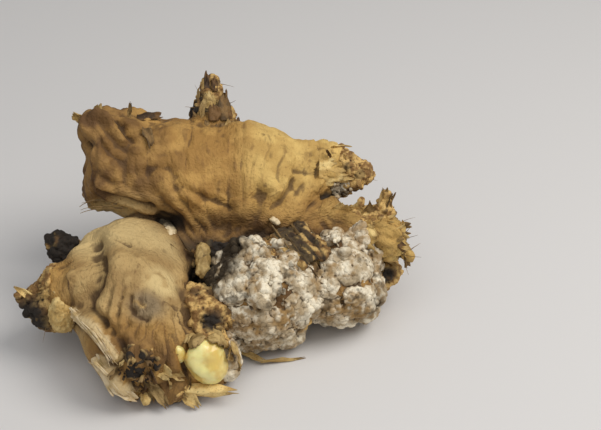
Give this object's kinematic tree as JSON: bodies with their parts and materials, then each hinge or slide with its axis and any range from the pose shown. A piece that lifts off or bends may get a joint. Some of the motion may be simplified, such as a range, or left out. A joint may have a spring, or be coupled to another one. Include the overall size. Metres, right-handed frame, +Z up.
{
  "type": "ginger root",
  "caption": "Dried, knobbly ginger rhizome with stubby fingers, dry bud scales, a broken yellow bud and pale mould on its front knobs.",
  "frame": {"origin": "middle of the clump's bounding box, on the surface it rests on", "axes": "+Z up from the surface, +X along the main finger towards its bud, +Y towards the bud at the back"},
  "size_m": [0.12, 0.0894, 0.0631],
  "materials": {
    "skin": "dry, wrinkled tan skin, matt",
    "mould": "powdery grey-white mould crust over brown skin",
    "scales": "papery brown scale leaves and fibres with dark edges",
    "flesh": "moist pale yellow flesh of the broken bud"
  },
  "bodies": {
    "root": {"ginger_rhizome": "skin"}
  },
  "joints": []
}
